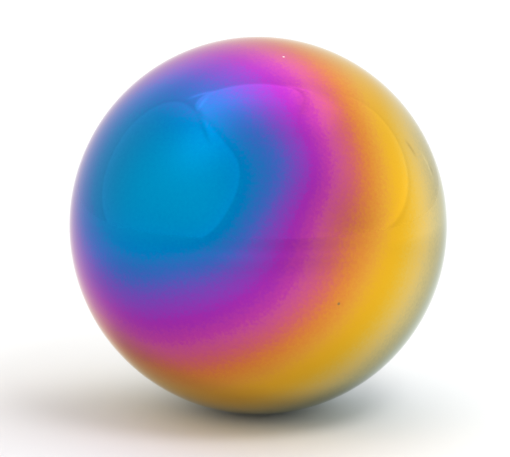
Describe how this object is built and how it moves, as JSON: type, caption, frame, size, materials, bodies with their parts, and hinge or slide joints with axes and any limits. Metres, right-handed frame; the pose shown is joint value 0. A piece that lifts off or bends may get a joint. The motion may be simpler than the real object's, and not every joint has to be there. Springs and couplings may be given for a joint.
{
  "type": "juggling ball",
  "caption": "Hollow metal juggling ball: pressed half shells nested on a stepped lip and welded flush, with a mirror polish under a rainbow interference film.",
  "frame": {"origin": "centre of the ball", "axes": "+Z is the axis of the seam, towards the upper half; the seam lies in the XY plane, and +X and +Y are equivalent in shape, with the coat's cyan side towards -X and -Y"},
  "size_m": [0.075, 0.075, 0.075],
  "materials": {
    "rainbow_film_on_steel": "mirror-polished stainless steel under a thin interference film that runs from cyan through blue, violet, magenta, orange and gold to pale green",
    "rainbow_film_on_weld": "stainless weld metal ground flush, mirror-polished and coated in one run with the halves, so that its colours carry on theirs"
  },
  "bodies": {
    "root": {"upper_half_shell": "rainbow_film_on_steel", "lower_half_shell": "rainbow_film_on_steel", "weld_bead": "rainbow_film_on_weld"}
  },
  "joints": []
}
